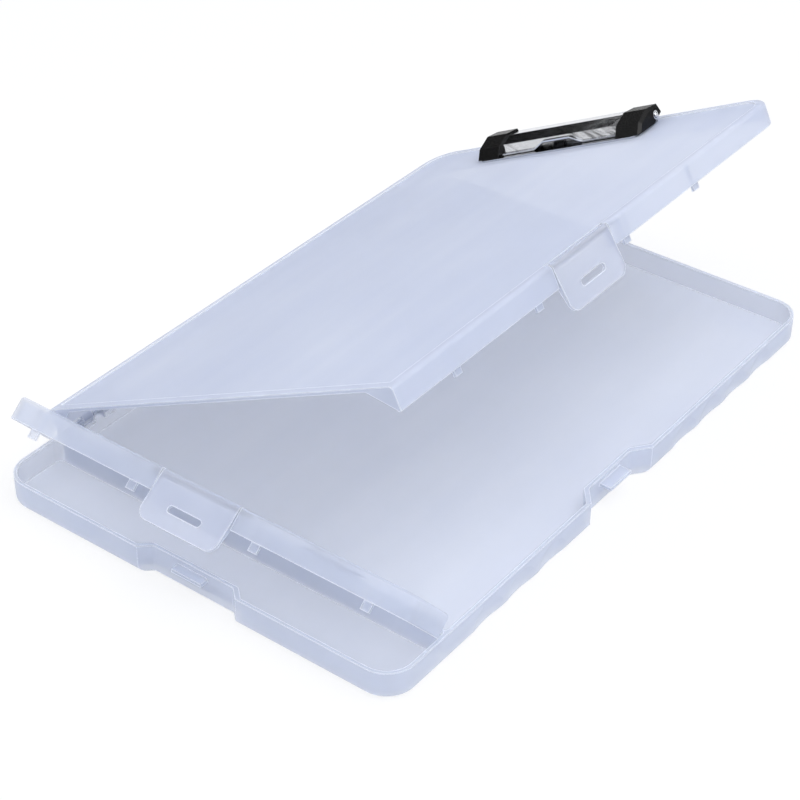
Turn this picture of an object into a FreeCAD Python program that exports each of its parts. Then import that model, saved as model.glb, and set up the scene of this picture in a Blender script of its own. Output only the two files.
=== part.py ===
import FreeCAD, Part
import math
import os

import Sketcher

# A storage clipboard box: a shallow tray with a large and a narrow compartment, a lid over each,
# two swing latches, and a flat sprung clip on the large lid. Millimetres, X across the box,
# Y along it with the clip at the +Y end, Z up from the table.

os.makedirs("parts", exist_ok=True)
doc = FreeCAD.newDocument("storage_clipboard_box")

SIZES = {
    # overall form
    "box_width": 247.0,
    "box_length": 378.0,
    "base_height": 15.5,
    "lid_depth": 12.5,
    "rim_gap": 0.3,
    "wall": 2.0,
    "floor_thickness": 2.0,
    "skin": 2.0,
    "corner_radius": 16.0,
    "foot_radius": 3.0,
    "lid_edge_radius": 2.2,
    "narrow_edge_radius": 1.5,
    "narrow_lid_corner": 12.0,
    "compartment_corner": 4.0,
    "narrow_depth": 39.5,
    "divider_thickness": 2.0,
    "overrun": 1.0,
    # opened angles, in degrees
    "main_lid_open": 26.8,
    "narrow_lid_open": 49.5,
    "latch_open": 7.0,
    # hinges
    "main_axis_out": 1.4,
    "main_axis_drop": 3.5,
    "main_barrel_radius": 2.6,
    "main_pin_radius": 1.0,
    "narrow_barrel_radius": 2.3,
    "narrow_pin_radius": 0.9,
    "pin_clearance": 0.05,
    "pin_inset": 0.4,
    "knuckle_length": 6.8,
    "knuckle_gap": 0.4,
    "sweep_gap": 0.4,
    "lid_split_gap": 0.5,
    "main_group_inset": 69.0,
    "narrow_group_inset": 65.5,
    # latches, their recesses and catch bars
    "front_recess_depth": 5.5,
    "front_recess_floor": 50.0,
    "front_recess_mouth": 62.0,
    "right_recess_depth": 7.5,
    "right_recess_floor": 38.0,
    "right_recess_mouth": 57.0,
    "recess_round": 3.0,
    "catch_width": 18.6,
    "catch_thickness": 2.0,
    "catch_setback": 0.5,
    "catch_drop": 4.0,
    "latch_width": 47.6,
    "latch_thickness": 1.8,
    "latch_barrel_radius": 2.2,
    "latch_pin_radius": 0.9,
    "latch_foot_level": 1.5,
    "latch_corner": 6.0,
    "latch_side_gap": 0.5,
    "latch_web": 1.5,
    "latch_cheek": 8.0,
    "slot_width": 20.0,
    "slot_height": 3.6,
    # locating pegs, panel step, finger grips and corner webs
    "peg_width": 5.0,
    "peg_thickness": 1.5,
    "peg_drop": 4.2,
    "peg_near_gap": 13.7,
    "main_peg_inset": 86.0,
    "narrow_peg_inset": 20.5,
    "narrow_peg_setback": 1.5,
    "main_peg_setback": 1.0,
    "panel_border": 5.0,
    "panel_step": 0.5,
    "grip_width": 26.0,
    "grip_depth": 2.0,
    "grip_pitch": 26.5,
    "grip_first_place": 62.0,
    "gusset_reach": 15.0,
    "gusset_thickness": 1.5,
    # clip
    "clip_place": -5.0,
    "plate_width": 114.0,
    "plate_thickness": 1.0,
    "plate_front_inset": 33.5,
    "plate_back_inset": 7.5,
    "plate_corner": 3.0,
    "rod_radius": 1.5,
    "rod_height": 4.8,
    "rod_inset": 13.0,
    "rod_overhang": 3.4,
    "ear_place": 28.0,
    "ear_thickness": 1.0,
    "ear_radius": 2.6,
    "clip_height": 9.5,
    "jaw_setback": 5.0,
    "jaw_thickness": 1.0,
    "jaw_gap": 0.3,
    "web_place": 35.0,
    "bead_depth": 1.5,
    "hump_rise": 3.8,
    "hump_half_top": 10.0,
    "hump_half_foot": 18.0,
    "cap_wall": 1.2,
    "cap_end": 3.0,
    "cap_length": 17.0,
    "cap_chamfer": 1.6,
    "rod_running_gap": 0.08,
    "roll_radius": 2.7,
    "cap_foot_clear": 0.3,
    "spring_wire": 0.9,
    "spring_radius": 2.35,
    "spring_pitch": 1.45,
    "spring_place": 8.0,
    "spring_leg": 3.4,
    "spring_running_gap": 0.05,
    "rivet_place": 22.0,
    "rivet_inset": 21.0,
    "rivet_radius": 1.6,
    "rivet_head_radius": 3.0,
    "rivet_head_height": 1.0,
    "rivet_clearance": 0.05,
    "washer_radius": 4.5,
    "washer_thickness": 0.6,
}


class Size:
    """A length that knows both its value and the sheet expression that gives it."""

    def __init__(self, text, value):
        self.text = text
        self.value = value

    def __add__(self, other):
        other = as_size(other)
        return Size(f"({self.text} + {other.text})", self.value + other.value)

    def __sub__(self, other):
        other = as_size(other)
        return Size(f"({self.text} - {other.text})", self.value - other.value)

    def __mul__(self, share):
        return Size(f"({self.text} * {share})", self.value * share)

    def __truediv__(self, share):
        return Size(f"({self.text} / {share})", self.value / share)

    def __neg__(self):
        return Size(f"(0 - {self.text})", -self.value)


def as_size(number):
    """Lets a plain zero stand in a sum of sizes."""
    return number if isinstance(number, Size) else Size(str(number), float(number))


class Sheet:
    """The driving sizes, one spreadsheet row each, read back as Size values."""

    def __init__(self, values):
        self.table = doc.addObject("Spreadsheet::Sheet", "Sizes")
        for row, (name, value) in enumerate(values.items(), start=1):
            self.table.set(f"A{row}", name)
            self.table.set(f"B{row}", str(value))
            self.table.setAlias(f"B{row}", name)
            setattr(self, name, Size(f"Sizes.{name}", float(value)))
        doc.recompute()


size = Sheet(SIZES)

# Places that several sub-parts share, with both lids closed.
right = size.box_width / 2
left = -right
back = size.box_length / 2
front = -back
inner_right = right - size.wall
inner_left = -inner_right
inner_back = back - size.wall
inner_front = -inner_back
lid_top = size.base_height + size.lid_depth
skirt_foot = size.base_height + size.rim_gap
skin_under = lid_top - size.skin
panel_top = lid_top - size.panel_step
main_axis_x = left - size.main_axis_out
narrow_axis_y = front + size.narrow_depth
narrow_axis_z = lid_top - size.narrow_barrel_radius
main_lid_front = narrow_axis_y + size.narrow_barrel_radius + size.lid_split_gap
divider_front = narrow_axis_y - size.divider_thickness / 2
divider_back = narrow_axis_y + size.divider_thickness / 2
divider_top = narrow_axis_z - size.narrow_barrel_radius - size.rim_gap
knuckle_pitch = size.knuckle_length + size.knuckle_gap
latch_axis_drop = size.latch_barrel_radius
latch_axis_z = lid_top - latch_axis_drop
notch_half = size.latch_width / 2 + size.latch_side_gap
main_group_place = back - size.main_group_inset
main_axis_height = size.base_height - size.main_axis_drop
catch_level = size.base_height - size.catch_drop
narrow_group_place = right - size.narrow_group_inset
peg_near_place = notch_half + size.peg_near_gap
zero = as_size(0)


def bind(thing, prop, value):
    """Ties a property of an object to a size."""
    thing.setExpression(prop, value.text)


def new_body(label):
    """An empty body whose label names its file."""
    body = doc.addObject("PartDesign::Body", label)
    body.Label = label
    return body


def draw_outline(sketch, points):
    """Adds a closed run of straight lines whose corners are held by their two sizes."""
    first = sketch.GeometryCount
    count = len(points)
    for index, (across, along) in enumerate(points):
        next_across, next_along = points[(index + 1) % count]
        start = FreeCAD.Vector(across.value, along.value, 0)
        end = FreeCAD.Vector(next_across.value, next_along.value, 0)
        sketch.addGeometry(Part.LineSegment(start, end), False)
    for index, (across, along) in enumerate(points):
        line = first + index
        following = first + (index + 1) % count
        sketch.addConstraint(Sketcher.Constraint("Coincident", line, 2, following, 1))
        hold(sketch, "DistanceX", (-1, 1, line, 1), across)
        hold(sketch, "DistanceY", (-1, 1, line, 1), along)


def draw_circle(sketch, across, along, radius):
    """Adds a circle held by its centre and radius."""
    centre = FreeCAD.Vector(across.value, along.value, 0)
    circle = sketch.addGeometry(Part.Circle(centre, FreeCAD.Vector(0, 0, 1), radius.value), False)
    hold(sketch, "DistanceX", (-1, 1, circle, 3), across)
    hold(sketch, "DistanceY", (-1, 1, circle, 3), along)
    hold(sketch, "Radius", (circle,), radius)


def hold(sketch, kind, places, value):
    """Adds one driving dimension to a sketch and ties it to its size."""
    index = sketch.addConstraint(Sketcher.Constraint(kind, *places, value.value))
    bind(sketch, f"Constraints[{index}]", value)


def draw_profile(body, name, plane, level, profiles):
    """A sketch on one of the body's origin planes, moved along its normal to a level."""
    sketch = body.newObject("Sketcher::SketchObject", name)
    origin_plane = next(f for f in body.Origin.OriginFeatures if f.Role == plane + "_Plane")
    sketch.AttachmentSupport = [(origin_plane, "")]
    sketch.MapMode = "FlatFace"
    bind(sketch, "AttachmentOffset.Base.z", -level if plane == "XZ" else level)
    for profile in profiles:
        if isinstance(profile, tuple):
            draw_circle(sketch, *profile)
        else:
            draw_outline(sketch, profile)
    return sketch


def add(body, name, plane, low, high, *profiles):
    """Pads profiles between two levels. A list is an outline, a tuple a circle."""
    start = high if plane == "XZ" else low
    pad = body.newObject("PartDesign::Pad", name)
    pad.Profile = draw_profile(body, name + "_profile", plane, start, profiles)
    bind(pad, "Length", high - low)
    body.Tip = pad
    return pad


def cut(body, name, plane, low, high, *profiles):
    """Pockets profiles between two levels."""
    doc.recompute()
    before = body.Shape.Volume
    start = low if plane == "XZ" else high
    pocket = body.newObject("PartDesign::Pocket", name)
    pocket.Profile = draw_profile(body, name + "_profile", plane, start, profiles)
    bind(pocket, "Length", high - low)
    body.Tip = pocket
    doc.recompute()
    if body.Shape.Volume >= before:
        raise RuntimeError(f"{body.Label}: {name} cuts nothing")
    return pocket


def round_edges(body, name, radius, chosen):
    """Fillets the edges of the body's last feature that a test picks out."""
    return soften(body, "PartDesign::Fillet", name, "Radius", radius, chosen)


def bevel_edges(body, name, width, chosen):
    """Chamfers the edges of the body's last feature that a test picks out."""
    return soften(body, "PartDesign::Chamfer", name, "Size", width, chosen)


def soften(body, kind, name, prop, amount, chosen):
    """Dresses the edges that a test picks out, and stops if it picks none."""
    doc.recompute()
    base = body.Tip
    names = [f"Edge{i}" for i, edge in enumerate(base.Shape.Edges, start=1) if chosen(edge)]
    if not names:
        raise RuntimeError(f"{body.Label}: {name} finds no edge")
    feature = body.newObject(kind, name)
    feature.Base = (base, names)
    bind(feature, prop, amount)
    body.Tip = feature
    doc.recompute()
    return feature


# Two places nearer than this, in mm, count as one.
SAME_PLACE = 1e-5


def same(one, other):
    """Whether two places agree, within what the modelling kernel can tell apart."""
    return abs(one - other) < SAME_PLACE


def upright_at(corners):
    """Picks the upright edges that stand at one of some X, Y corners."""
    def test(edge):
        ends = [vertex.Point for vertex in edge.Vertexes]
        if len(ends) != 2 or not (same(ends[0].x, ends[1].x) and same(ends[0].y, ends[1].y)):
            return False
        return any(same(ends[0].x, x.value) and same(ends[0].y, y.value) for x, y in corners)
    return test


def rim_at(level):
    """Picks the edges that lie wholly at one height."""
    def test(edge):
        return all(same(vertex.Point.z, level.value) for vertex in edge.Vertexes)
    return test


def lid_rim(outer_y, cut_y):
    """Picks a lid's outer top edges, apart from the one along its hinged or free cut."""
    def test(edge):
        ends = [vertex.Point for vertex in edge.Vertexes]
        if not rim_at(lid_top)(edge) or all(same(point.y, cut_y.value) for point in ends):
            return False
        return any(same(abs(point.x), right.value) or same(point.y, outer_y.value) for point in ends)
    return test


def rectangle(x_low, x_high, y_low, y_high):
    """The four corners of an outline between two pairs of places."""
    return [(x_low, y_low), (x_high, y_low), (x_high, y_high), (x_low, y_high)]


def trapezoid(centre, half_mouth, half_floor, mouth_level, floor_level):
    """A recess outline across a wall, wide at its mouth."""
    return [
        (centre - half_mouth, mouth_level),
        (centre + half_mouth, mouth_level),
        (centre + half_floor, floor_level),
        (centre - half_floor, floor_level),
    ]


def turned(outline):
    """The same outline with its two directions exchanged."""
    return [(v, u) for u, v in outline]


def knuckle_spans(centre, turns):
    """The start and end of a hinge group's knuckles, counted from its middle one."""
    spans = []
    for turn in turns:
        middle = centre + knuckle_pitch * turn
        spans.append((middle - size.knuckle_length / 2, middle + size.knuckle_length / 2))
    return spans


# How much of a half thickness or radius each of these takes.
EAR_ROUND_SHARE = 0.98
SLOT_ROUND_SHARE = 0.95
PIN_BEVEL_SHARE = 0.3
HEAD_DOME_SHARE = 0.8
PIN_SEAT_SHARE = 0.75

LID_TURNS = (-1, 1)
BOTH_SIDES = (-1, 1)
group_half = knuckle_pitch * 2 + size.knuckle_length / 2


def group_span(centre):
    """The two ends of a whole hinge group."""
    return centre - group_half, centre + group_half


def base_tray():
    """The tray: one moulding with its divider, recessed catches, finger grips and hinge knuckles."""
    body = new_body("tray_moulding")
    add(body, "block", "XY", zero, size.base_height, rectangle(left, right, front, back))
    for name, y_low, y_high in (
        ("main_compartment", divider_back, inner_back),
        ("narrow_compartment", inner_front, divider_front),
    ):
        cut(body, name, "XY", size.floor_thickness, size.base_height,
            rectangle(inner_left, inner_right, y_low, y_high))
    wide = [(x, y) for x in (inner_left, inner_right) for y in (inner_front, inner_back)]
    tight = [(x, y) for x in (inner_left, inner_right) for y in (divider_front, divider_back)]
    round_edges(body, "inner_corners", size.corner_radius - size.wall, upright_at(wide))
    round_edges(body, "divider_corners", size.compartment_corner, upright_at(tight))
    corners = [(x, y) for x in (left, right) for y in (front, back)]
    round_edges(body, "corners", size.corner_radius, upright_at(corners))
    round_edges(body, "foot", size.foot_radius, rim_at(zero))
    raise_divider(body)
    recess_front(body)
    recess_right(body)
    main_hinge_seats(body)
    narrow_hinge_seats(body)
    return finger_grips(body)


def raise_divider(body):
    """The divider stands above the rim, just inside the lids' side skirts."""
    low = inner_left + size.sweep_gap
    add(body, "divider", "XZ", divider_front, divider_back,
        rectangle(low, -low, size.base_height - size.overrun, divider_top))


def recess_front(body):
    """The front wall steps in behind the narrow lid's latch and carries its catch bar."""
    half_mouth = size.front_recess_mouth / 2
    half_floor = size.front_recess_floor / 2
    floor = front + size.front_recess_depth
    add(body, "front_recess_back", "XY", size.floor_thickness, size.base_height,
        trapezoid(zero, half_mouth + size.wall, half_floor + size.wall, inner_front, floor + size.wall))
    cut(body, "front_recess", "XY", zero, size.base_height,
        trapezoid(zero, half_mouth, half_floor, front, floor))
    round_edges(body, "front_recess_rounds", size.recess_round, upright_at(
        [(-half_floor, floor), (half_floor, floor), (-(half_floor + size.wall), floor + size.wall),
         (half_floor + size.wall, floor + size.wall)]))
    low = catch_level - size.catch_thickness / 2
    half = size.catch_width / 2
    add(body, "front_catch", "XY", low, low + size.catch_thickness,
        rectangle(-half, half, front + size.catch_setback, floor + size.wall / 2))


def recess_right(body):
    """A narrower, deeper recess and catch bar in the right wall, for the main lid's latch."""
    half_mouth = size.right_recess_mouth / 2
    half_floor = size.right_recess_floor / 2
    floor = right - size.right_recess_depth
    add(body, "right_recess_back", "XY", size.floor_thickness, size.base_height,
        turned(trapezoid(zero, half_mouth + size.wall, half_floor + size.wall, inner_right,
                         floor - size.wall)))
    cut(body, "right_recess", "XY", zero, size.base_height,
        turned(trapezoid(zero, half_mouth, half_floor, right, floor)))
    round_edges(body, "right_recess_rounds", size.recess_round, upright_at(
        [(floor, -half_floor), (floor, half_floor), (floor - size.wall, -(half_floor + size.wall)),
         (floor - size.wall, half_floor + size.wall)]))
    low = catch_level - size.catch_thickness / 2
    half = size.catch_width / 2
    add(body, "right_catch", "XY", low, low + size.catch_thickness,
        rectangle(floor - size.wall / 2, right - size.catch_setback, -half, half))


def main_hinge_seats(body):
    """Barrels on gussets outside the left wall, slotted where the lid's knuckles turn."""
    radius = size.main_barrel_radius
    slot_low = main_axis_height - radius - size.sweep_gap
    gusset = [
        (main_axis_x - radius, main_axis_height),
        (left + size.wall / 2, main_axis_height - radius * 2),
        (left + size.wall / 2, main_axis_height),
    ]
    slots = []
    for side in BOTH_SIDES:
        where = "front" if side < 0 else "rear"
        low, high = group_span(main_group_place * side)
        add(body, f"{where}_barrel", "XZ", low, high, (main_axis_x, main_axis_height, radius))
        add(body, f"{where}_gusset", "XZ", low, high, gusset)
        for start, end in knuckle_spans(main_group_place * side, LID_TURNS):
            slots.append(rectangle(start - size.knuckle_gap, end + size.knuckle_gap, slot_low,
                                   size.base_height + size.overrun))
    cut(body, "hinge_slots", "YZ", main_axis_x - radius - size.overrun, inner_left, *slots)
    for side in BOTH_SIDES:
        where = "front" if side < 0 else "rear"
        low, high = group_span(main_group_place * side)
        cut(body, f"{where}_pin_bore", "XZ", low, high,
            (main_axis_x, main_axis_height, size.main_pin_radius + size.pin_clearance))


def narrow_hinge_seats(body):
    """Barrels on necks along the divider's top, flush with the closed lids."""
    radius = size.narrow_barrel_radius
    slots = []
    for side in BOTH_SIDES:
        where = "left" if side < 0 else "right"
        low, high = group_span(narrow_group_place * side)
        add(body, f"{where}_neck", "YZ", low, high,
            rectangle(divider_front, divider_back, divider_top - size.overrun, narrow_axis_z))
        add(body, f"{where}_barrel", "YZ", low, high, (narrow_axis_y, narrow_axis_z, radius))
        for start, end in knuckle_spans(narrow_group_place * side, LID_TURNS):
            slots.append(rectangle(start - size.knuckle_gap, end + size.knuckle_gap, divider_top,
                                   lid_top + size.overrun))
    cut(body, "narrow_hinge_slots", "XZ", narrow_axis_y - radius - size.overrun,
        narrow_axis_y + radius + size.overrun, *slots)
    for side in BOTH_SIDES:
        where = "left" if side < 0 else "right"
        low, high = group_span(narrow_group_place * side)
        cut(body, f"{where}_narrow_pin_bore", "YZ", low, high,
            (narrow_axis_y, narrow_axis_z, size.narrow_pin_radius + size.pin_clearance))


grip_half = size.grip_width / 2
grip_radius = Size(
    f"({grip_half.text}^2 / (2 * Sizes.grip_depth) + Sizes.grip_depth / 2)",
    grip_half.value ** 2 / (2 * size.grip_depth.value) + size.grip_depth.value / 2,
)
grip_centre_x = right + grip_radius - size.grip_depth


def grip_places():
    """The middles of the finger grips, a row each side of the right wall's recess."""
    far = back - size.corner_radius - grip_half
    near = -divider_back - grip_half
    count = int((far - size.grip_first_place).value / size.grip_pitch.value) + 1
    rows = [size.grip_first_place + size.grip_pitch * step for step in range(count)]
    return rows + [-place for place in rows if place.value <= near.value]


def grip_balls(name, radius):
    """Balls whose centres stand outside the right wall, at the height of the table."""
    balls = []
    for index, place_y in enumerate(grip_places(), start=1):
        ball = doc.addObject("Part::Sphere", f"{name}_ball_{index}")
        bind(ball, "Radius", radius)
        bind(ball, "Placement.Base.x", grip_centre_x)
        bind(ball, "Placement.Base.y", place_y)
        balls.append(ball)
    row = doc.addObject("Part::MultiFuse", name)
    row.Shapes = balls
    return row


def box(name, x_low, x_high, y_low, y_high, z_low, z_high):
    """A plain block between three pairs of places."""
    block = doc.addObject("Part::Box", name)
    for prop, value in (("Length", x_high - x_low), ("Width", y_high - y_low), ("Height", z_high - z_low),
                        ("Placement.Base.x", x_low), ("Placement.Base.y", y_low),
                        ("Placement.Base.z", z_low)):
        bind(block, prop, value)
    return block


def finger_grips(moulding):
    """Shallow arched dimples along the lower right wall, thickened inside to keep the wall."""
    swell = doc.addObject("Part::Common", "grip_swells")
    swell.Base = grip_balls("grip_backs", grip_radius + size.wall)
    swell.Tool = box("grip_backs_room", inner_right - size.grip_depth - size.overrun,
                     right - size.wall / 2, divider_back, inner_back,
                     size.floor_thickness, size.base_height)
    thick = doc.addObject("Part::Fuse", "tray_with_grip_backs")
    thick.Base = moulding
    thick.Tool = swell
    tray = doc.addObject("Part::Cut", "base_tray")
    tray.Label = "base_tray"
    tray.Base = thick
    tray.Tool = grip_balls("grip_dimples", grip_radius)
    return tray


def rotated_about(axis, angle, centre):
    """The expression of a turn by an angle about an axis through a point."""
    direction = ";".join(str(part) for part in axis)
    middle = ";".join(part.text for part in centre)
    return f"placement(vector(0;0;0); rotation(vector({direction}); {angle.text}); vector({middle}))"


main_lid_turn = rotated_about((0, -1, 0), size.main_lid_open, (main_axis_x, zero, main_axis_height))
narrow_lid_turn = rotated_about((-1, 0, 0), size.narrow_lid_open, (zero, narrow_axis_y, narrow_axis_z))


def place(thing, expression):
    """Opens a piece to the pose that the part rests in."""
    thing.setExpression("Placement", expression)


def main_lid():
    """The large lid: skirts on three sides, hinge knuckles, latch notch, panel and rivet holes."""
    body = new_body("main_lid")
    add(body, "block", "XY", skirt_foot, lid_top, rectangle(left, right, main_lid_front, back))
    cut(body, "hollow", "XY", skirt_foot, skin_under,
        rectangle(inner_left, inner_right, main_lid_front - size.overrun, inner_back))
    round_edges(body, "inner_corners", size.corner_radius - size.wall,
                upright_at([(inner_left, inner_back), (inner_right, inner_back)]))
    lid_panel(body)
    round_edges(body, "corners", size.corner_radius, upright_at([(left, back), (right, back)]))
    round_edges(body, "top_edge", size.lid_edge_radius, lid_rim(back, main_lid_front))
    edge = right - latch_axis_drop
    add(body, "latch_cheeks", "XZ", -(notch_half + size.latch_cheek), notch_half + size.latch_cheek,
        rectangle(edge - size.latch_barrel_radius, right - size.wall / 2, skirt_foot, skin_under))
    cut(body, "latch_notch", "XY", skirt_foot, lid_top,
        rectangle(edge - size.latch_barrel_radius - size.sweep_gap, right + size.overrun,
                  -notch_half, notch_half))
    cut(body, "latch_pin_bore", "XZ", -(notch_half + latch_pin_seat), notch_half + latch_pin_seat,
        (edge, latch_axis_z, size.latch_pin_radius + size.pin_clearance))
    main_lid_knuckles(body)
    for side in BOTH_SIDES:
        for number, distance in enumerate((peg_near_place, back - size.main_peg_inset), start=1):
            main_peg(body, f"peg_{number}_{'front' if side < 0 else 'rear'}", distance * side)
    for side, where in zip(BOTH_SIDES, ("left", "right")):
        corner_gusset(body, f"{where}_gusset", side)
    holes = [(clip_x + size.rivet_place * side, rivet_y, size.rivet_radius + size.rivet_clearance)
             for side in BOTH_SIDES]
    cut(body, "rivet_holes", "XY", skin_under, lid_top, *holes)
    place(body, main_lid_turn)
    return body


def lid_panel(body):
    """The lid's top is set down by a small step inside its border."""
    border = size.panel_border
    cut(body, "panel", "XY", panel_top, lid_top,
        rectangle(left + border, right - border, main_lid_front + border, back - border))
    round_edges(body, "panel_corners", size.corner_radius - border,
                upright_at([(left + border, back - border), (right - border, back - border)]))


def corner_gusset(body, name, side):
    """A three-cornered web that stiffens a side skirt's open front end."""
    outer = (right - size.wall / 2) * side
    inner = (inner_right - size.gusset_reach) * side
    add(body, name, "XZ", main_lid_front, main_lid_front + size.gusset_thickness,
        [(outer, skirt_foot), (outer, skin_under + size.skin / 2), (inner, skin_under + size.skin / 2),
         (inner, skin_under)])


def main_lid_knuckles(body):
    """Barrels between the tray's, each on a leaf that hangs from the left skirt."""
    spans = [span for side in BOTH_SIDES
             for span in knuckle_spans(main_group_place * side, LID_TURNS)]
    leaves = [rectangle(low, high, main_axis_height, skirt_foot + size.overrun)
              for low, high in spans]
    add(body, "leaves", "YZ", left, inner_left, *leaves)
    for index, (low, high) in enumerate(spans, start=1):
        add(body, f"barrel_{index}", "XZ", low, high,
            (main_axis_x, main_axis_height, size.main_barrel_radius))
    for side in BOTH_SIDES:
        low, high = group_span(main_group_place * side)
        cut(body, f"{'front' if side < 0 else 'rear'}_pin_bore", "XZ", low, high,
            (main_axis_x, main_axis_height, size.main_pin_radius + size.pin_clearance))


def main_peg(body, name, distance):
    """A peg inside the free skirt that drops behind the tray's wall as the lid closes."""
    outer = inner_right - size.main_peg_setback
    inner = outer - size.peg_thickness
    half = size.peg_width / 2
    add(body, name, "XY", size.base_height - size.peg_drop, skin_under,
        rectangle(inner, outer, distance - half, distance + half))
    add(body, name + "_root", "XY", skirt_foot + size.rim_gap, skin_under,
        rectangle(inner, inner_right, distance - half, distance + half))


def narrow_lid():
    """The narrow lid: side ears, a front skirt with its latch notch, and hinge knuckles."""
    body = new_body("narrow_lid")
    ear_back = narrow_axis_y + size.narrow_barrel_radius
    add(body, "block", "XY", skirt_foot, lid_top, rectangle(left, right, front, ear_back))
    round_ears(body, ear_back)
    cut(body, "hollow", "XY", skirt_foot, skin_under,
        rectangle(inner_left, inner_right, inner_front, ear_back))
    round_edges(body, "inner_corners", size.narrow_lid_corner - size.wall,
                upright_at([(inner_left, inner_front), (inner_right, inner_front)]))
    round_edges(body, "corners", size.narrow_lid_corner, upright_at([(left, front), (right, front)]))
    round_edges(body, "top_edge", size.narrow_edge_radius, lid_rim(front, ear_back))
    skin_back = narrow_axis_y - size.narrow_barrel_radius - size.sweep_gap
    cut(body, "hinge_gap", "XY", skin_under, lid_top,
        rectangle(inner_left, inner_right, skin_back, ear_back))
    edge = front + latch_axis_drop
    add(body, "latch_cheeks", "YZ", -(notch_half + size.latch_cheek), notch_half + size.latch_cheek,
        rectangle(front + size.wall / 2, edge + size.latch_barrel_radius, skirt_foot, skin_under))
    cut(body, "latch_notch", "XY", skirt_foot, lid_top,
        rectangle(-notch_half, notch_half, front - size.overrun,
                  edge + size.latch_barrel_radius + size.sweep_gap))
    cut(body, "latch_pin_bore", "YZ", -(notch_half + latch_pin_seat), notch_half + latch_pin_seat,
        (edge, latch_axis_z, size.latch_pin_radius + size.pin_clearance))
    narrow_lid_knuckles(body, skin_back)
    for side in BOTH_SIDES:
        for number, distance in enumerate((peg_near_place, right - size.narrow_peg_inset), start=1):
            narrow_peg(body, f"peg_{number}_{'left' if side < 0 else 'right'}", distance * side)
    place(body, narrow_lid_turn)
    return body


def round_ears(body, ear_back):
    """The back edge is rounded about the hinge axis, and its two ends stay as the lid's ears."""
    def test(edge):
        ends = [vertex.Point for vertex in edge.Vertexes]
        return all(same(p.z, lid_top.value) and same(p.y, ear_back.value) for p in ends)
    round_edges(body, "ears", size.narrow_barrel_radius * EAR_ROUND_SHARE, test)


def narrow_lid_knuckles(body, skin_back):
    """Barrels between the divider's, each on a tongue of the lid's skin."""
    spans = [span for side in BOTH_SIDES
             for span in knuckle_spans(narrow_group_place * side, LID_TURNS)]
    tongues = [rectangle(low, high, skin_back - size.overrun, narrow_axis_y) for low, high in spans]
    add(body, "tongues", "XY", skin_under, lid_top, *tongues)
    for index, (low, high) in enumerate(spans, start=1):
        add(body, f"barrel_{index}", "YZ", low, high,
            (narrow_axis_y, narrow_axis_z, size.narrow_barrel_radius))
    for side in BOTH_SIDES:
        low, high = group_span(narrow_group_place * side)
        cut(body, f"{'left' if side < 0 else 'right'}_pin_bore", "YZ", low, high,
            (narrow_axis_y, narrow_axis_z, size.narrow_pin_radius + size.pin_clearance))


def narrow_peg(body, name, distance):
    """A peg set back from the front skirt, because this lid closes on a short arc."""
    outer = inner_front + size.narrow_peg_setback
    inner = outer + size.peg_thickness
    half = size.peg_width / 2
    add(body, name, "XY", size.base_height - size.peg_drop, skin_under,
        rectangle(distance - half, distance + half, outer, inner))
    add(body, name + "_root", "XY", skirt_foot + size.rim_gap, skin_under,
        rectangle(distance - half, distance + half, inner_front, inner))


latch_pin_seat = size.latch_cheek * PIN_SEAT_SHARE
latch_foot = size.latch_foot_level - latch_axis_z


def runs_through(edge):
    """Whether an edge runs straight through a plate from front to back, along Y."""
    ends = [vertex.Point for vertex in edge.Vertexes]
    return len(ends) == 2 and same(ends[0].x, ends[1].x) and same(ends[0].z, ends[1].z)


def latch(label, chain):
    """A swing latch about its own X axis: a barrel, a flat tab at -Y with two webs, a catch slot."""
    body = new_body(label)
    half = size.latch_width / 2
    outer = -size.latch_barrel_radius
    inner = outer + size.latch_thickness
    add(body, "tab", "XZ", outer, inner, rectangle(-half, half, latch_foot, zero))

    def at_foot(edge):
        ends = [vertex.Point for vertex in edge.Vertexes]
        return runs_through(edge) and same(ends[0].z, latch_foot.value)
    round_edges(body, "foot_corners", size.latch_corner, at_foot)
    add(body, "barrel", "YZ", -half, half, (zero, zero, size.latch_barrel_radius))
    web_foot = latch_foot + size.latch_corner
    web = [(outer + size.latch_thickness / 2, zero), (zero, zero),
           (size.latch_barrel_radius, -size.latch_barrel_radius), (inner, web_foot),
           (outer + size.latch_thickness / 2, web_foot)]
    add(body, "left_web", "YZ", -half, size.latch_web - half, web)
    add(body, "right_web", "YZ", half - size.latch_web, half, web)
    cut(body, "pin_bore", "YZ", -half, half, (zero, zero, size.latch_pin_radius + size.pin_clearance))
    middle = catch_level - latch_axis_z
    slot_half = size.slot_width / 2
    slot_round = size.slot_height / 2
    cut(body, "slot", "XZ", outer, inner,
        rectangle(-slot_half, slot_half, middle - slot_round, middle + slot_round))

    def slot_end(edge):
        corner = edge.Vertexes[0].Point
        return runs_through(edge) and same(abs(corner.x), slot_half.value) and same(
            abs(corner.z - middle.value), slot_round.value)
    round_edges(body, "slot_ends", slot_round * SLOT_ROUND_SHARE, slot_end)
    place(body, chain)
    return body


def latch_chain(lid_turn, quarter, x, y):
    """Tips a latch out by its resting angle, carries it to its notch and opens it with its lid."""
    tip = f"placement(vector(0;0;0); rotation(vector(-1;0;0); {size.latch_open.text}))"
    seat = f"placement(vector({x.text};{y.text};{latch_axis_z.text}); rotation(vector(0;0;1); {quarter}))"
    return f"{lid_turn} * {seat} * {tip}"


def pin(label, radius, length, plane, chain):
    """A plain round steel pin, centred on its own origin."""
    body = new_body(label)
    add(body, "wire", plane, -(length / 2), length / 2, (zero, zero, radius))
    bevel_edges(body, "ends", radius * PIN_BEVEL_SHARE, lambda edge: edge.Closed)
    place(body, chain)
    return body


def moved(x, y, z):
    """The expression of a shift without a turn."""
    return f"placement(vector({x.text};{y.text};{z.text}); rotation(vector(0;0;1); 0))"


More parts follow.
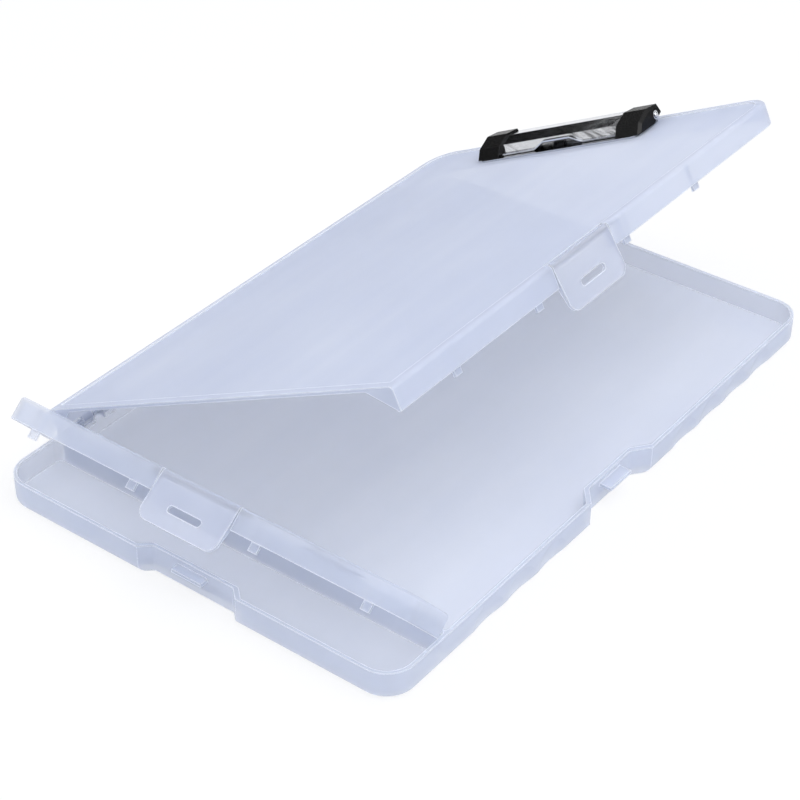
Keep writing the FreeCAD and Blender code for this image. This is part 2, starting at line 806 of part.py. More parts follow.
def hinge_pins():
    """The four steel pins of the two lids' hinges, two to a lid."""
    length = (group_half - size.pin_inset) * 2
    parts = []
    for side, where in zip(BOTH_SIDES, ("front", "rear")):
        spot = moved(main_axis_x, main_group_place * side, main_axis_height)
        parts.append(pin(f"main_hinge_pin_{where}", size.main_pin_radius, length, "XZ", spot))
    for side, where in zip(BOTH_SIDES, ("left", "right")):
        spot = moved(narrow_group_place * side, narrow_axis_y, narrow_axis_z)
        parts.append(pin(f"narrow_hinge_pin_{where}", size.narrow_pin_radius, length, "YZ", spot))
    return parts


def latches():
    """Both swing latches, each with the pin it turns on in its lid's cheeks."""
    length = (notch_half + latch_pin_seat - size.pin_inset) * 2
    main_x = right - latch_axis_drop
    narrow_y = front + latch_axis_drop
    return [
        latch("main_latch", latch_chain(main_lid_turn, 90, main_x, zero)),
        latch("narrow_latch", latch_chain(narrow_lid_turn, 0, zero, narrow_y)),
        pin("main_latch_pin", size.latch_pin_radius, length, "XZ",
            f"{main_lid_turn} * {moved(main_x, zero, latch_axis_z)}"),
        pin("narrow_latch_pin", size.latch_pin_radius, length, "YZ",
            f"{narrow_lid_turn} * {moved(zero, narrow_y, latch_axis_z)}"),
    ]


# The clip, in the closed lid's place: a riveted plate with two ears, a rod, a sprung jaw, end caps.
clip_x = size.clip_place
plate_front = back - size.plate_front_inset
plate_back = back - size.plate_back_inset
plate_top = panel_top + size.plate_thickness
rod_y = back - size.rod_inset
rod_z = panel_top + size.rod_height
rivet_y = back - size.rivet_inset
jaw_foot = plate_top + size.jaw_gap
jaw_top = panel_top + size.clip_height
jaw_front = plate_front + size.jaw_setback
jaw_half = size.plate_width / 2
cap_start = jaw_half + size.cap_end - size.cap_length
roll_end = jaw_half + size.cap_end - size.pin_inset

# Corners of the jaw's section, as shares of its depth and of its height.
JAW_SHARES = ((0.0, 0.0), (0.12, 0.64), (0.50, 1.0), (0.92, 0.90), (1.0, 0.36))
# How far each corner moves in, along Y and Z, as shares of the sheet's thickness.
JAW_INSET_SHARES = ((1.06, 0.0), (0.78, -0.75), (0.12, -1.05), (-0.72, -0.86), (-1.0, 0.0))
# How far each corner of a cap stands out from the jaw, as shares of the cap's wall.
CAP_OUTSET_SHARES = ((-3.6, 0.0), (-2.0, 0.25), (-0.2, 1.0), (0.7, 0.9), (1.0, -0.1), (0.0, 0.0))


def jaw_outline():
    """The jaw's section, from its front foot over its top to its back edge."""
    depth = plate_back - jaw_front
    height = jaw_top - jaw_foot
    return [(jaw_front + depth * u, jaw_foot + height * v) for u, v in JAW_SHARES]


def jaw_inside():
    """The same section one sheet's thickness further in."""
    moves = zip(jaw_outline(), JAW_INSET_SHARES)
    return [(y + size.jaw_thickness * u, z + size.jaw_thickness * v) for (y, z), (u, v) in moves]


def clip_base_plate():
    """The chrome plate that the rivets hold down, with an ear each side for the rod."""
    body = new_body("clip_base_plate")
    ends = (clip_x - size.plate_width / 2, clip_x + size.plate_width / 2)
    add(body, "sheet", "XY", panel_top, plate_top, rectangle(*ends, plate_front, plate_back))
    corners = [(x, y) for x in ends for y in (plate_front, plate_back)]
    round_edges(body, "corners", size.plate_corner, upright_at(corners))
    for side, where in zip(BOTH_SIDES, ("left", "right")):
        inner = clip_x + size.ear_place * side - size.ear_thickness / 2
        outer = inner + size.ear_thickness
        upright = rectangle(rod_y - size.ear_radius, rod_y + size.ear_radius,
                            plate_top - size.plate_thickness / 2, rod_z)
        add(body, f"{where}_ear", "YZ", inner, outer, upright)
        add(body, f"{where}_ear_eye", "YZ", inner, outer, (rod_y, rod_z, size.ear_radius))
        cut(body, f"{where}_rod_hole", "YZ", inner, outer, (rod_y, rod_z, size.rod_radius))
    holes = [(clip_x + size.rivet_place * side, rivet_y, size.rivet_radius + size.rivet_clearance)
             for side in BOTH_SIDES]
    cut(body, "rivet_holes", "XY", panel_top, plate_top, *holes)
    place(body, main_lid_turn)
    return body


def clip_jaw():
    """The folded chrome jaw: a channel, two webs, rolls round the rod and a raised bead in front."""
    body = new_body("clip_jaw")
    add(body, "channel", "YZ", clip_x - jaw_half, clip_x + jaw_half, jaw_outline())
    web = size.web_place
    web_back = web + size.jaw_thickness
    inside = jaw_inside()
    hollow = inside + [(inside[-1][0], jaw_foot - size.overrun), (inside[0][0], jaw_foot - size.overrun)]
    for name, low, high in (("left", -jaw_half, -web_back), ("middle", -web, web),
                            ("right", web_back, jaw_half)):
        cut(body, f"{name}_hollow", "YZ", clip_x + low, clip_x + high, hollow)
    for name, low, high in (("left", -roll_end, -web), ("right", web, roll_end)):
        add(body, f"{name}_roll", "YZ", clip_x + low, clip_x + high, (rod_y, rod_z, size.roll_radius))
    cut(body, "rod_bore", "YZ", clip_x - roll_end, clip_x + roll_end,
        (rod_y, rod_z, size.rod_radius + size.rod_running_gap))
    mouth = [
        (clip_x - size.hump_half_foot, jaw_foot),
        (clip_x + size.hump_half_foot, jaw_foot),
        (clip_x + size.hump_half_top, jaw_foot + size.hump_rise),
        (clip_x - size.hump_half_top, jaw_foot + size.hump_rise),
    ]
    cut(body, "mouth", "XZ", jaw_front - size.overrun, jaw_front + size.bead_depth * 2, mouth)
    add(body, "bead", "XZ", jaw_front - size.bead_depth, jaw_front + size.jaw_thickness, bead_outline())
    place(body, main_lid_turn)
    return body


def bead_outline():
    """The bead along the jaw's foot, which rises over the hump where a finger lifts it."""
    end = cap_start
    foot = jaw_foot
    thick = size.jaw_thickness
    half_foot = size.hump_half_foot
    half_top = size.hump_half_top
    rise = foot + size.hump_rise
    under = [(-end, foot), (-half_foot, foot), (-half_top, rise), (half_top, rise), (half_foot, foot),
             (end, foot)]
    over = [(end, foot + thick), (half_foot - thick / 2, foot + thick), (half_top - thick / 2, rise + thick),
            (-(half_top - thick / 2), rise + thick), (-(half_foot - thick / 2), foot + thick),
            (-end, foot + thick)]
    return [(clip_x + across, up) for across, up in under + over]


def clip_cap(label, side):
    """A black end cap that sleeves the jaw's end and presses with its foot."""
    body = new_body(label)
    outline = jaw_outline()
    outline.append((rod_y, jaw_foot))
    moves = zip(outline, CAP_OUTSET_SHARES)
    outer = [(y + size.cap_wall * u, z + size.cap_wall * v) for (y, z), (u, v) in moves]
    far = jaw_half + size.cap_end
    low, high = (clip_x + cap_start, clip_x + far) if side > 0 else (clip_x - far, clip_x - cap_start)
    add(body, "block", "YZ", low, high, outer)
    tip = (clip_x + far * side).value
    above_foot = (jaw_foot + size.cap_foot_clear).value

    def at_tip(edge):
        return all(same(vertex.Point.x, tip) for vertex in edge.Vertexes) and edge.CenterOfMass.z > above_foot
    bevel_edges(body, "end_bevel", size.cap_chamfer, at_tip)
    socket_end = jaw_half if side > 0 else -cap_start
    socket_start = cap_start if side > 0 else -jaw_half
    cut(body, "socket", "YZ", clip_x + socket_start, clip_x + socket_end, jaw_outline())
    cut(body, "roll_bore", "YZ", low, high, (rod_y, rod_z, size.roll_radius + size.pin_clearance))
    place(body, main_lid_turn)
    return body


def clip_rod():
    """The long rod that the jaw and its end caps turn on."""
    body = new_body("clip_rod")
    reach = jaw_half + size.rod_overhang
    add(body, "wire", "YZ", clip_x - reach, clip_x + reach, (rod_y, rod_z, size.rod_radius))
    bevel_edges(body, "ends", size.rod_radius * PIN_BEVEL_SHARE, lambda edge: edge.Closed)
    place(body, main_lid_turn)
    return body


def clip_rivet(label, side):
    """A rivet with a low round head, its shank through plate and lid, and a set tail."""
    body = new_body(label)
    x = clip_x + size.rivet_place * side
    washer_under = skin_under - size.washer_thickness
    add(body, "shank", "XY", washer_under, plate_top, (x, rivet_y, size.rivet_radius))
    add(body, "head", "XY", plate_top, plate_top + size.rivet_head_height,
        (x, rivet_y, size.rivet_head_radius))
    round_edges(body, "head_dome", size.rivet_head_height * HEAD_DOME_SHARE,
                rim_at(plate_top + size.rivet_head_height))
    add(body, "tail", "XY", washer_under - size.rivet_head_height, washer_under,
        (x, rivet_y, size.rivet_head_radius))
    place(body, main_lid_turn)
    return body


def rivet_washer(label, side):
    """The washer that spreads a rivet's tail under the lid."""
    body = new_body(label)
    x = clip_x + size.rivet_place * side
    add(body, "ring", "XY", skin_under - size.washer_thickness, skin_under,
        (x, rivet_y, size.washer_radius))
    cut(body, "hole", "XY", skin_under - size.washer_thickness, skin_under,
        (x, rivet_y, size.rivet_radius + size.rivet_clearance))
    place(body, main_lid_turn)
    return body


SPRING_TURNS = 5
QUARTERS = 4


def bend(start, start_way, end, end_way):
    """Two arcs that leave one point and reach another along the given directions."""
    across = end - start
    ways = start_way + end_way
    spread = 2 * (start_way.dot(end_way) - 1)
    lean = 2 * across.dot(ways)
    reach = across.dot(across)
    if abs(spread) < SAME_PLACE:
        arm = reach / lean
    else:
        arm = (lean - math.sqrt(lean * lean - 4 * spread * reach)) / (2 * spread)
    first_corner = start + start_way * arm
    second_corner = end - end_way * arm
    meeting = (first_corner + second_corner) * 0.5
    return [arc_in_corner(start, first_corner, meeting), arc_in_corner(meeting, second_corner, end)]


def arc_in_corner(start, corner, end):
    """The arc between two points that touches both sides of the corner between them."""
    middle = (start + end) * 0.5
    half_chord = start.distanceToPoint(end) / 2
    side = start.distanceToPoint(corner)
    top = middle + (corner - middle) * (half_chord / (side + half_chord))
    return Part.Arc(start, top, end)


def spring_path(start_x, step):
    """A leg on the plate behind the rod, turns about the rod, and a leg under the jaw's back."""
    radius = size.spring_radius.value
    pitch = size.spring_pitch.value * step
    centre = FreeCAD.Vector(start_x, rod_y.value, rod_z.value)

    def on_coil(quarter):
        angle = -math.pi / 2 * (quarter + 1)
        out = FreeCAD.Vector(pitch * quarter / QUARTERS, radius * math.cos(angle), radius * math.sin(angle))
        way = FreeCAD.Vector(pitch / QUARTERS, math.pi / 2 * radius * math.sin(angle),
                             -math.pi / 2 * radius * math.cos(angle))
        return centre + out, way.normalize()

    quarters = SPRING_TURNS * QUARTERS + QUARTERS // 2
    stations = [on_coil(quarter) for quarter in range(quarters + 1)]
    rest_z = (plate_top + size.spring_wire / 2 + size.spring_running_gap).value
    first, last = stations[0][0], stations[-1][0]
    leg_end = FreeCAD.Vector(first.x, first.y + size.spring_leg.value, rest_z)
    stations.insert(0, (leg_end, FreeCAD.Vector(0, -1, 0)))
    tail_y = (jaw_inside()[3][0] - size.spring_wire).value
    stations.append((FreeCAD.Vector(last.x, tail_y, last.z), FreeCAD.Vector(0, 1, 0)))
    path = []
    for (here, way), (there, way_there) in zip(stations, stations[1:]):
        path += bend(here, way, there, way_there)
    return Part.Wire([curve.toShape() for curve in path])


def clip_spring(label, side):
    """A torsion spring round the rod that presses the jaw shut."""
    path = spring_path((clip_x + size.spring_place * side).value, side)
    start = path.Vertexes[0].Point
    along = path.Edges[0].tangentAt(path.Edges[0].FirstParameter)
    circle = Part.Wire([Part.makeCircle(size.spring_wire.value / 2, start, along)])
    spring = doc.addObject("Part::Feature", label)
    spring.Label = label
    tube = path.makePipeShell([circle], True, False)
    spring.Shape = tube if tube.Volume > 0 else tube.reversed()
    place(spring, main_lid_turn)
    print(f"{label}: least gap between its turns {least_gap(path):.2f} mm")
    return spring


def least_gap(path):
    """The least distance between the wire's own turns, measured on points along it."""
    wire = size.spring_wire.value
    step = wire / 2
    points = path.discretize(Distance=step)
    apart = int(math.pi * size.spring_radius.value / step)
    return min(here.distanceToPoint(there) for index, here in enumerate(points)
               for there in points[index + apart:]) - wire


def clip():
    """Every piece of the clip, from the plate up."""
    parts = [clip_base_plate(), clip_jaw(), clip_rod()]
    for side, where in zip(BOTH_SIDES, ("left", "right")):
        parts.append(clip_cap(f"clip_cap_{where}", side))
        parts.append(clip_spring(f"clip_spring_{where}", side))
        parts.append(clip_rivet(f"clip_rivet_{where}", side))
        parts.append(rivet_washer(f"rivet_washer_{where}", side))
    return parts


def check(parts):
    """Stops if any object has failed or any sub-part isn't one valid solid."""
    doc.recompute()
    for thing in doc.Objects:
        if "Invalid" in thing.State or "Error" in thing.State:
            raise RuntimeError(f"{thing.Name} has failed: {thing.State}")
    for part in parts:
        shape = part.Shape
        if shape.isNull() or not shape.isValid() or len(shape.Solids) != 1:
            raise RuntimeError(f"{part.Label}: valid {shape.isValid()}, {len(shape.Solids)} solids")


parts = [base_tray(), main_lid(), narrow_lid()] + latches() + hinge_pins() + clip()
check(parts)
for part in parts:
    part.Shape.exportStep(f"parts/{part.Label}.step")
print(len(parts), "sub-parts written")
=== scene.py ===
# %% [markdown]
# # A frosted storage clipboard box
# The box is a shallow moulded tray with two lids, two swing latches and a flat sprung clip. Every
# piece is rigid and was drawn in CAD, so the shapes arrive finished and this lesson is about light
# and finish: how a milky plastic, bright plating, drawn wire and black moulding are told apart.

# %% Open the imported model
import bpy
from mathutils import Matrix, Vector

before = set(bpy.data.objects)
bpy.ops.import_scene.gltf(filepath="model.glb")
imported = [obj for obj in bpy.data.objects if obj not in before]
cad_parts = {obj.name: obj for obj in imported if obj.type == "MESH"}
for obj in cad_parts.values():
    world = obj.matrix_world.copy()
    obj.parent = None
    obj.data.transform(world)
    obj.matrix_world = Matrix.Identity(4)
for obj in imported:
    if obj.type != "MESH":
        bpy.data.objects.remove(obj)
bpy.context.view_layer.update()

bpy.ops.object.select_all(action="DESELECT")
print(len(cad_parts), "nodes")

# %% [markdown]
# ## The camera
# The photograph was taken with a long lens from the front right and above. The camera's place and
# the directions of its picture were worked out from the tray's edges, so they are set as they came
# and not aimed by eye: a matrix holds the picture's right, its up and the way back to the lens.

# %% Set the camera
EYE = Vector((0.53010, -0.72567, 0.66064))
LOOK = Vector((-0.48631, 0.64598, -0.58839))
PICTURE_RIGHT = Vector((0.79651, 0.60465, 0.00551))
PICTURE_UP = Vector((-0.35932, 0.46597, 0.80856))
FOCAL_LENGTH_MM = 94.16
SENSOR_WIDTH_MM = 36.0
NEAREST_SEEN = 0.05
lens = bpy.data.cameras.new("camera")
lens.lens = FOCAL_LENGTH_MM
lens.sensor_width = SENSOR_WIDTH_MM
lens.clip_start = NEAREST_SEEN
camera = bpy.data.objects.new("camera", lens)
bpy.context.scene.collection.objects.link(camera)
facing = Matrix((PICTURE_RIGHT, PICTURE_UP, -LOOK)).transposed().to_4x4()
camera.matrix_world = Matrix.Translation(EYE) @ facing
bpy.context.scene.camera = camera
print("camera stands", round(EYE.length, 3), "m from the tray's middle")

# %% [markdown]
# ## Writing shader maths
# A finish is mostly arithmetic on a few patterns. Wiring each sum by hand hides it, so one small
# class wraps a socket and lets it be added, scaled and compared as a number is. A second class
# holds the material being made and has the one method that adds any node.

# %% A socket that does sums
class Signal:
    """A value that varies over a surface. Sums on it add Math nodes to its finish."""

    def __init__(self, finish, socket):
        self.finish = finish
        self.socket = socket

    def sum(self, operation, *others):
        sockets = dict(enumerate((self,) + others))
        return self.finish.node("ShaderNodeMath", {"operation": operation}, sockets)

    def __add__(self, other):
        return self.sum("ADD", other)

    def __mul__(self, other):
        return self.sum("MULTIPLY", other)

    def __sub__(self, other):
        return self.sum("SUBTRACT", other)

    def __rsub__(self, other):
        return self * -1.0 + other

    __radd__ = __add__
    __rmul__ = __mul__

    def ramp(self, low, high):
        """0 below low and 1 above high, with a smooth rise between them."""
        settings = {"interpolation_type": "SMOOTHSTEP"}
        sockets = {"Value": self, "From Min": low, "From Max": high}
        return self.finish.node("ShaderNodeMapRange", settings, sockets)


# %% A finish under construction
NOOK_SAMPLES = 8
EDGE_SAMPLES = 6


class Finish:
    """A material, its main shader and the place of each point on the part."""

    def __init__(self, name):
        self.material = bpy.data.materials.new(name)
        self.material.use_nodes = True
        self.shader = self.material.node_tree.nodes["Principled BSDF"]
        self.place = self.node("ShaderNodeTexCoord", output="Object")

    def node(self, kind, settings=None, sockets=None, output=0):
        """Adds a node: its settings first, then values or links to its sockets."""
        made = self.material.node_tree.nodes.new(kind)
        for name, value in (settings or {}).items():
            setattr(made, name, value)
        for name, value in (sockets or {}).items():
            self.give(made.inputs[name], value)
        return Signal(self, made.outputs[output])

    def give(self, socket, value):
        """Links a signal to a socket, or sets the socket's own value."""
        if isinstance(value, Signal):
            self.material.node_tree.links.new(value.socket, socket)
        else:
            socket.default_value = value

    def set(self, **sockets):
        """Sets the main shader's sockets by name, with _ for a space."""
        for name, value in sockets.items():
            self.give(self.shader.inputs[name.replace("_", " ")], value)

    def colours(self, mask, low, high):
        """One colour where the mask is 0, another where it is 1."""
        settings = {"data_type": "RGBA"}
        return self.node("ShaderNodeMix", settings, {0: mask, 6: low, 7: high}, output=2)

    def noise(self, place, scale, detail=2.0, roughness=0.5):
        """Soft random blotches, 0 to 1."""
        sockets = {"Vector": place, "Scale": scale, "Detail": detail, "Roughness": roughness}
        return self.node("ShaderNodeTexNoise", {}, sockets)

    def stretched(self, scale, turn=(0.0, 0.0, 0.0), away=(0.0, 0.0, 0.0)):
        """The place of each point after a shift, a turn and a stretch."""
        settings = {"vector_type": "POINT"}
        sockets = {"Vector": self.place, "Location": away, "Rotation": turn, "Scale": scale}
        return self.node("ShaderNodeMapping", settings, sockets)

    def bump(self, height, distance, strength=1.0, normal=None):
        """The surface's direction as a height, up to a distance in metres, would tilt it."""
        sockets = {"Height": height, "Distance": distance, "Strength": strength}
        if normal is not None:
            sockets["Normal"] = normal
        return self.node("ShaderNodeBump", {}, sockets)

    def open_share(self, reach):
        """1 where a point is in the open, and lower the deeper it sits in a nook."""
        settings = {"samples": NOOK_SAMPLES}
        return self.node("ShaderNodeAmbientOcclusion", settings, {"Distance": reach}, output="AO")

    def soft_edges(self, radius):
        """The surface's direction with its sharp edges rounded off for the light."""
        return self.node("ShaderNodeBevel", {"samples": EDGE_SAMPLES}, {"Radius": radius})


def edge_mask(finish, radius):
    """1 along sharp edges and 0 on flats, from how far a rounding would turn the surface."""
    rounded = finish.soft_edges(radius)
    true = finish.node("ShaderNodeNewGeometry", output="True Normal")
    both = {0: rounded, 1: true}
    alike = finish.node("ShaderNodeVectorMath", {"operation": "DOT_PRODUCT"}, both, output="Value")
    return (1.0 - alike).ramp(0.002, 0.12)


def colour(red, green, blue):
    """A colour as a picture shows it, 0 to 255, turned into light's own scale."""
    def linear(part):
        share = part / 255
        return share / 12.92 if share <= 0.04045 else ((share + 0.055) / 1.055) ** 2.4
    return (linear(red), linear(green), linear(blue), 1.0)


# %% [markdown]
# ## Frosted plastic
# The tray, lids and latches are moulded in one milky, bluish plastic. Light goes some way in and
# comes out again, so the walls glow a little where they are thin and their edges look lighter than
# the flats. The mould was textured, which gives a fine grain that breaks up every reflection, and
# handling has left faint scuffs. A share of rough transmission gives the milky depth, an alpha
# below one lets the pieces behind show through the flats, and the edges stay solid. That glow is
# not rendered. Instead a light colour is painted along the edges as a painted highlight, mixed with
# random tone.

# %% Frosted plastic
# How far in from each sharp edge the painted highlight reaches.
EDGE_HIGHLIGHT_RADIUS = 0.0012
PLASTIC_ROUND = 0.0005
GRAIN_DEPTH = 0.00006


def frosted(name, flat, edge_highlight, seed, clear, body):
    """Flat is the plastic's colour and edge_highlight the painted highlight on its edges; clear is
    the share let through, body the alpha of the flats.
    """
    finish = Finish(name)
    here = finish.stretched((1.0, 1.0, 1.0), away=(seed, seed * 0.7, 0.0))
    cloud = finish.noise(here, 14.0, 3.0)
    flow = finish.noise(finish.stretched((60.0, 9.0, 60.0), away=(seed, 0.0, 0.0)), 1.0, 2.0)
    edges = edge_mask(finish, EDGE_HIGHLIGHT_RADIUS)
    # Painted highlight: the edges are painted a light colour, mixed with random cloud and flow tone.
    tone_and_edge_highlight = (edges + (cloud - 0.5) * 0.5 + (flow - 0.5) * 0.35).ramp(-0.35, 1.1)
    rubbed = finish.stretched((900.0, 60.0, 300.0), (0.0, 0.0, 0.5))
    scuff = finish.noise(rubbed, 1.0, 3.0).ramp(0.62, 0.78)
    grain = finish.noise(here, 1700.0, 2.0, 0.6)
    dimple = finish.node("ShaderNodeTexVoronoi", {}, {"Vector": here, "Scale": 1100.0})
    height = grain * 0.7 + dimple * 0.5
    finish.set(
        Base_Color=finish.colours(tone_and_edge_highlight, flat, edge_highlight),
        Roughness=0.42 + cloud * 0.08 - edges * 0.1 + scuff * 0.08,
        Normal=finish.bump(height, GRAIN_DEPTH, 0.5, finish.soft_edges(PLASTIC_ROUND)),
        IOR=1.2,
        Transmission_Weight=clear,
        Specular_IOR_Level=0.5,
        Alpha=body + edges * (1.0 - body),
    )
    return finish.material


MILKY = colour(212, 219, 236)
# Painted highlight colours for the plastic's edges.
EDGE_HIGHLIGHT_COLOUR = colour(244, 247, 252)
BRIGHTER_EDGE_HIGHLIGHT = colour(246, 248, 253)
tray_plastic = frosted("frosted_tray", MILKY, EDGE_HIGHLIGHT_COLOUR, 1.3, 0.35, 0.58)
# The lid is the same plastic, but its colour is a shade darker than the tray's: painted shade for
# its tilt away from the key light.
lid_plastic = frosted("frosted_lid", colour(209, 216, 234), EDGE_HIGHLIGHT_COLOUR, 4.1, 0.3, 0.72)
narrow_plastic = frosted("frosted_narrow_lid", MILKY, BRIGHTER_EDGE_HIGHLIGHT, 7.7, 0.4, 0.42)
latch_plastic = frosted("frosted_latch", colour(212, 218, 235), BRIGHTER_EDGE_HIGHLIGHT, 9.2, 0.4, 0.5)
for plastic in (tray_plastic, lid_plastic, narrow_plastic, latch_plastic):
    print("frosted plastic:", plastic.name)

# %% [markdown]
# ## Bright plating
# The clip is folded from sheet steel and plated, so it mirrors its surroundings. Plating over a
# pressed sheet is never flat: it has a long ripple from the press and fine marks from polishing.
# Deep in the folds the open share of each point darkens the plating's colour: a painted shade in the
# nooks.

# %% Plated steel
PAINTED_NOOK_SHADE_REACH = 0.006
RIPPLE_DEPTH = 0.0003
METAL_ROUND = 0.0003


def plated():
    """A mirror with a long ripple, polishing marks, a few dull specks and painted shade in its
    nooks.
    """
    finish = Finish("plated_steel")
    ripple = finish.noise(finish.stretched((9.0, 190.0, 190.0)), 1.0, 2.0)
    polish = finish.noise(finish.stretched((120.0, 4200.0, 4200.0)), 1.0, 2.0)
    specks = finish.noise(finish.place, 900.0, 2.0).ramp(0.66, 0.8)
    # Painted shade: the open share darkens the colour in nooks and folds. The specks dull it at
    # random.
    unshaded_and_unspecked = finish.open_share(PAINTED_NOOK_SHADE_REACH).ramp(0.1, 0.75) - specks * 0.15
    pressed = ripple + polish * 0.06
    finish.set(
        Base_Color=finish.colours(unshaded_and_unspecked, colour(40, 41, 44), colour(222, 224, 229)),
        Metallic=1.0,
        Roughness=0.08 + polish * 0.07 + specks * 0.12,
        Normal=finish.bump(pressed, RIPPLE_DEPTH, 0.4, finish.soft_edges(METAL_ROUND)),
    )
    return finish.material


plating = plated()
print("plating:", plating.name)

# %% [markdown]
# ## Wire
# The hinge and latch pins and the springs are drawn wire, which is duller than plating, and drawn
# wire keeps long scratches along its length.

# %% Drawn wire
SCRATCH_DEPTH = 0.00004


def drawn_wire(name, pale, dark, scale):
    """Scale stretches the scratches: small along the wire and large across it."""
    finish = Finish(name)
    scratch = finish.noise(finish.stretched(scale), 1.0, 3.0)
    blotch = finish.noise(finish.place, 300.0, 2.0)
    finish.set(
        Base_Color=finish.colours(scratch * 0.7 + blotch * 0.3, dark, pale),
        Metallic=1.0,
        Roughness=0.24 + scratch * 0.2,
        Normal=finish.bump(scratch, SCRATCH_DEPTH, 0.5),
    )
    return finish.material


BRIGHT_WIRE = colour(206, 208, 212)
DULL_WIRE = colour(150, 152, 158)
ACROSS = 2600.0
ALONG = 60.0
wire_along_y = drawn_wire("drawn_wire_along_y", BRIGHT_WIRE, DULL_WIRE, (ACROSS, ALONG, ACROSS))
wire_along_x = drawn_wire("drawn_wire_along_x", BRIGHT_WIRE, DULL_WIRE, (ALONG, ACROSS, ACROSS))
coiled = (500.0, 500.0, 500.0)
spring_wire = drawn_wire("spring_wire", colour(168, 168, 172), colour(96, 96, 102), coiled)
print("wire:", wire_along_y.name, wire_along_x.name, spring_wire.name)

# %% [markdown]
# ## Black moulding
# The clip's end caps are moulded in black. The mould was polished, so they shine, but a slight
# orange peel wobbles the reflections and the bevelled corners have rubbed to a dark grey.

# %% Black moulding
RUBBED_EDGE = 0.0006
PEEL_DEPTH = 0.00018
CAP_ROUND = 0.0003


def black_moulding():
    """Glossy black with an orange peel and rubbed corners."""
    finish = Finish("black_moulding")
    peel = finish.noise(finish.place, 420.0, 2.0)
    grain = finish.noise(finish.place, 2400.0, 2.0)
    rubbed = edge_mask(finish, RUBBED_EDGE) * grain.ramp(0.35, 0.7)
    finish.set(
        Base_Color=finish.colours(rubbed * 0.6, colour(7, 7, 8), colour(52, 53, 57)),
        Roughness=0.2 + grain * 0.12 + rubbed * 0.2,
        Normal=finish.bump(peel + grain * 0.08, PEEL_DEPTH, 0.35, finish.soft_edges(CAP_ROUND)),
        Specular_IOR_Level=0.2,
    )
    return finish.material


black = black_moulding()
print("black moulding:", black.name)

# %% [markdown]
# ## Dressing the nodes
# A CAD node keeps its mesh and only gets a finish, through the material slots of its object.

# %% Give each node its finish
FINISHES = {
    "base_tray": tray_plastic,
    "main_lid": lid_plastic,
    "narrow_lid": narrow_plastic,
    "main_latch": latch_plastic,
    "narrow_latch": latch_plastic,
    "main_hinge_pin_front": wire_along_y,
    "main_hinge_pin_rear": wire_along_y,
    "narrow_hinge_pin_left": wire_along_x,
    "narrow_hinge_pin_right": wire_along_x,
    "main_latch_pin": wire_along_y,
    "narrow_latch_pin": wire_along_x,
    "clip_base_plate": plating,
    "clip_jaw": plating,
    "clip_rod": plating,
    "clip_rivet_left": plating,
    "clip_rivet_right": plating,
    "rivet_washer_left": plating,
    "rivet_washer_right": plating,
    "clip_spring_left": spring_wire,
    "clip_spring_right": spring_wire,
    "clip_cap_left": black,
    "clip_cap_right": black,
}


def dress(node, finish):
    """Puts a finish in every material slot of a CAD node."""
    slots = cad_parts[node].material_slots
    if not slots:
        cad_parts[node].data.materials.append(finish)
    for slot in slots:
        slot.material = finish


for node, finish in FINISHES.items():
    dress(node, finish)
print("dressed", len(FINISHES), "of", len(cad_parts), "nodes")

# %% [markdown]
# ## Floor and background
# A pale sweep gives the box something to stand on. To the camera and to reflections it is white,
# by a share of plain glow that only those rays see, and the rest of it is lit, so that the shadow
# under the tray still shows.

# %% Floor
FLOOR_SIZE = 8.0
FLOOR_LEVEL = -0.0002
GLOW_SHARE = 0.8
bpy.ops.mesh.primitive_plane_add(size=FLOOR_SIZE, location=(0.0, 0.0, FLOOR_LEVEL))
floor = bpy.context.object
floor.name = "floor"
sweep = Finish("pale_sweep")
sweep.set(Base_Color=colour(238, 240, 244), Roughness=0.9)
direct = sweep.node("ShaderNodeLightPath", output="Is Camera Ray")
mirror = sweep.node("ShaderNodeLightPath", output="Is Glossy Ray")
through = sweep.node("ShaderNodeLightPath", output="Is Transmission Ray")
seen = direct.sum("MAXIMUM", mirror).sum("MAXIMUM", through)
glow = sweep.node("ShaderNodeEmission", {}, {"Color": (1.0, 1.0, 1.0, 1.0), "Strength": 1.0})
lit = Signal(sweep, sweep.shader.outputs[0])
mixed = sweep.node("ShaderNodeMixShader", {}, {0: seen * GLOW_SHARE, 1: lit, 2: glow})
sweep.give(sweep.material.node_tree.nodes["Material Output"].inputs["Surface"], mixed)
floor.data.materials.append(sweep.material)
print("floor", [round(v, 2) for v in floor.dimensions])

# %% [markdown]
# ## Soft light
# Two large soft boxes and a pale sky light the box, the key from above and the fill from the front
# left, at a level where a colour renders about as it is written. Dark bands ring the scene where
# only reflections find them: without them, plating that mirrors a white room looks like white paint.

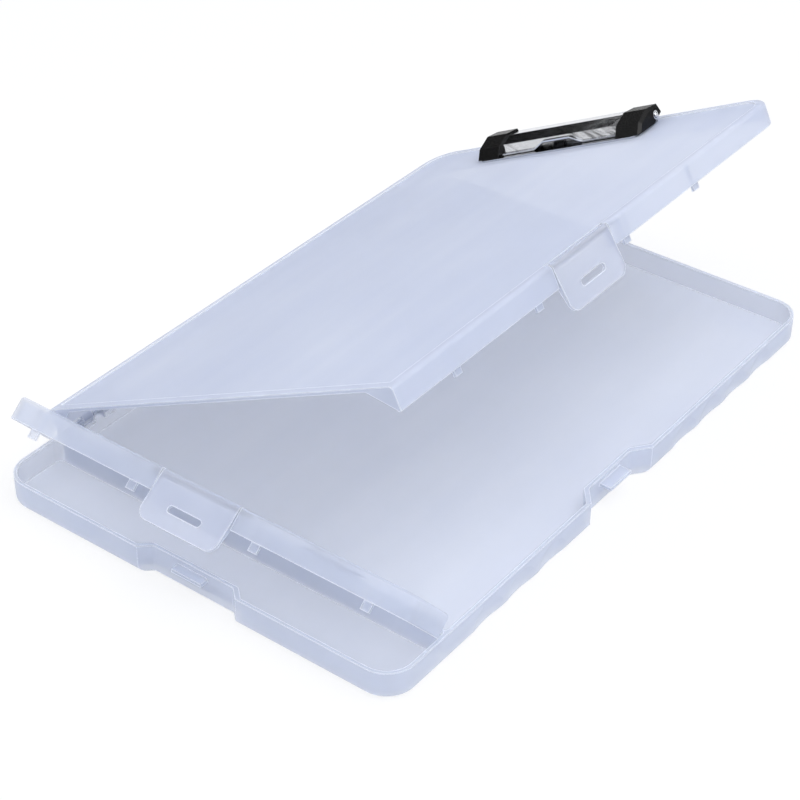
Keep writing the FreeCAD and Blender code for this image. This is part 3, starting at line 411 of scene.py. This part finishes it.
# %% Sky and lamps
SKY_COLOUR = (0.93, 0.95, 1.0, 1.0)
SKY_STRENGTH = 0.76
LAMP_AIM = Vector((0.0, 0.0, 0.05))
world = bpy.data.worlds.new("studio")
bpy.context.scene.world = world
world.use_nodes = True
tree = world.node_tree
rays = tree.nodes.new("ShaderNodeLightPath")
plain = tree.nodes["Background"]
plain.inputs["Color"].default_value = SKY_COLOUR
plain.inputs["Strength"].default_value = SKY_STRENGTH
white = tree.nodes.new("ShaderNodeBackground")
white.inputs["Color"].default_value = (1.0, 1.0, 1.0, 1.0)
either = tree.nodes.new("ShaderNodeMath")
either.operation = "MAXIMUM"
tree.links.new(rays.outputs["Is Camera Ray"], either.inputs[0])
tree.links.new(rays.outputs["Is Glossy Ray"], either.inputs[1])
both = tree.nodes.new("ShaderNodeMath")
both.operation = "MAXIMUM"
tree.links.new(either.outputs[0], both.inputs[0])
tree.links.new(rays.outputs["Is Transmission Ray"], both.inputs[1])
choice = tree.nodes.new("ShaderNodeMixShader")
tree.links.new(both.outputs[0], choice.inputs[0])
tree.links.new(plain.outputs[0], choice.inputs[1])
tree.links.new(white.outputs[0], choice.inputs[2])
tree.links.new(choice.outputs[0], tree.nodes["World Output"].inputs["Surface"])


def soft_box(name, place, wide, high, watts):
    """A rectangular lamp that faces the middle of the box."""
    lamp = bpy.data.lights.new(name, "AREA")
    lamp.shape = "RECTANGLE"
    lamp.size = wide
    lamp.size_y = high
    lamp.energy = watts
    holder = bpy.data.objects.new(name, lamp)
    bpy.context.scene.collection.objects.link(holder)
    holder.location = place
    holder.rotation_euler = (LAMP_AIM - Vector(place)).to_track_quat("-Z", "Y").to_euler()


soft_box("key", (0.6, 0.1, 1.8), wide=1.2, high=1.2, watts=20.0)
soft_box("fill", (-1.3, -0.9, 1.1), wide=1.2, high=1.0, watts=6.0)
print("lamps: key and fill")

# %% Dark bands for the reflections
# Each band's radius, foot and top.
BANDS = ((0.8, 0.0, 0.05), (1.5, 0.03, 0.17), (1.5, 0.3, 0.62), (1.5, 0.7, 0.95))
BAND_SIDES = 96
cloth = Finish("black_cloth")
cloth.set(Base_Color=colour(8, 8, 9), Roughness=1.0, Specular_IOR_Level=0.0)
for number, (radius, foot, top) in enumerate(BANDS, start=1):
    bpy.ops.mesh.primitive_cylinder_add(
        vertices=BAND_SIDES, radius=radius, depth=top - foot, end_fill_type="NOTHING",
        location=(0.0, 0.0, (foot + top) / 2))
    band = bpy.context.object
    band.name = f"dark_band_{number}"
    band.visible_camera = False
    band.visible_diffuse = False
    band.visible_shadow = False
    band.visible_transmission = False
    band.data.materials.append(cloth.material)
print(len(BANDS), "dark bands")

# %% Colour management
bpy.context.scene.view_settings.view_transform = "Standard"
